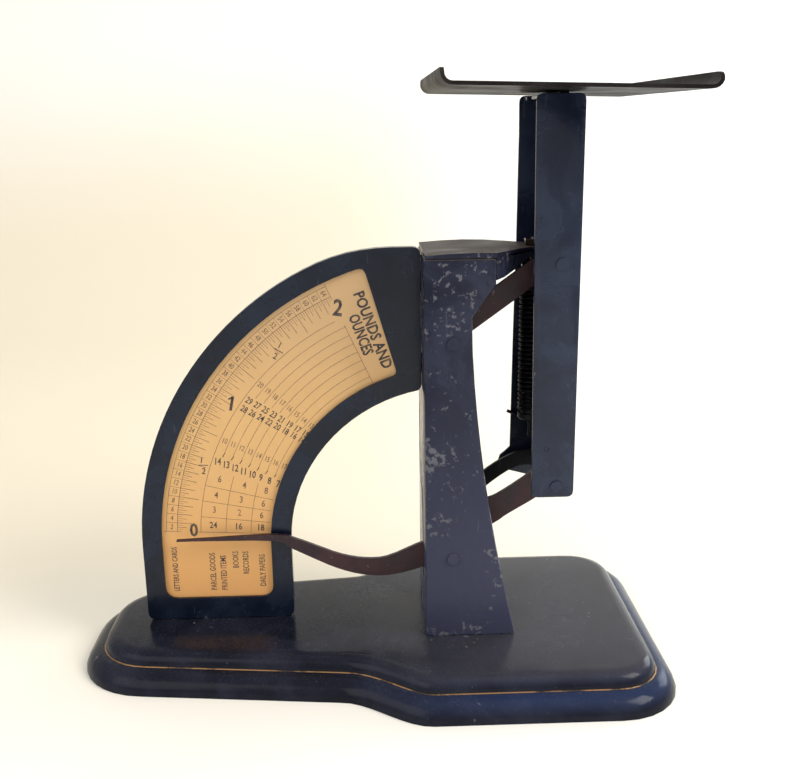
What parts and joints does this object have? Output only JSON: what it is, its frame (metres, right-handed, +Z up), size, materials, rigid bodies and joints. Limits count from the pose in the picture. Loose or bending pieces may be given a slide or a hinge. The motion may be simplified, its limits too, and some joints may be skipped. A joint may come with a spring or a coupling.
{
  "type": "quadrant letter scale",
  "caption": "Antique spring letter scale: a level platform on a parallel linkage, a stamped base and a quadrant dial that a long pointer sweeps.",
  "frame": {"origin": "middle of the base's footprint, on the surface it stands on", "axes": "+Z up, +X from the dial towards the platform, -Y towards the reader of the dial"},
  "size_m": [0.182, 0.098, 0.1781],
  "materials": {
    "black_japan": "gloss black japan with fine scratches and chips",
    "maroon_paint": "worn dark red-brown enamel",
    "dark_steel": "darkened steel with bare worn edges",
    "worn_steel": "dull worn steel",
    "aged_brass": "aged brass",
    "aged_card": "yellowed printed card"
  },
  "bodies": {
    "stand": {"base_pan": "black_japan", "column_shell": "black_japan", "spring_arm": "black_japan", "dial_frame": "black_japan", "dial_card": "aged_card", "dial_back": "black_japan", "fulcrum_pin": "worn_steel", "column_upper_pin": "worn_steel", "load_spring": "worn_steel", "zero_screw": "worn_steel"},
    "nut": {"zero_nut": "aged_brass"},
    "lever": {"pointer_lever": "maroon_paint", "rear_arm": "dark_steel", "fulcrum_sleeve": "worn_steel", "post_end_sleeve": "worn_steel"},
    "link": {"upper_link": "maroon_paint", "column_spacer_front": "worn_steel", "column_spacer_rear": "worn_steel", "post_spacer_front": "worn_steel", "post_spacer_rear": "worn_steel"},
    "post": {"post_channel": "black_japan", "platform_bracket": "black_japan", "platform": "black_japan", "platform_rivet_front": "worn_steel", "platform_rivet_rear": "worn_steel", "post_lower_pin": "worn_steel", "post_upper_pin": "worn_steel", "spring_anchor": "worn_steel"},
    "hook": {"spring_hook": "dark_steel"}
  },
  "joints": [
    {"name": "lever_turn", "type": "hinge", "parent": "stand", "child": "lever", "pos_m": [0.025, 0, 0.0365], "axis": [0, 1, 0], "range_deg": [0, 64], "stiffness_Nm_per_rad": 0.28, "springref_deg": -11.46},
    {"name": "post_upright", "type": "hinge", "parent": "lever", "child": "post", "pos_m": [0.056, 0, 0.0589], "axis": [0, 1, 0], "range_deg": [-64, 0]},
    {"name": "upper_link_turn", "type": "hinge", "parent": "stand", "child": "link", "pos_m": [0.025, 0, 0.1034], "axis": [0, 1, 0], "range_deg": [0, 64]},
    {"name": "spring_drop", "type": "slide", "parent": "stand", "child": "hook", "axis": [0.0671, 0, -0.9977], "range_m": [0, 0.0409], "deforming": ["load_spring"]},
    {"name": "zero_nut_turn", "type": "hinge", "parent": "stand", "child": "nut", "pos_m": [0.051, 0.0042, 0.13005], "axis": [0, 0, 1], "continuous": true}
  ],
  "couplings": [
    {"joint": "post_upright", "follows": "lever_turn", "ratio": -1},
    {"joint": "upper_link_turn", "follows": "lever_turn", "ratio": 1},
    {"joint": "spring_drop", "follows": "lever_turn", "m_per_rad": 0.0365}
  ]
}
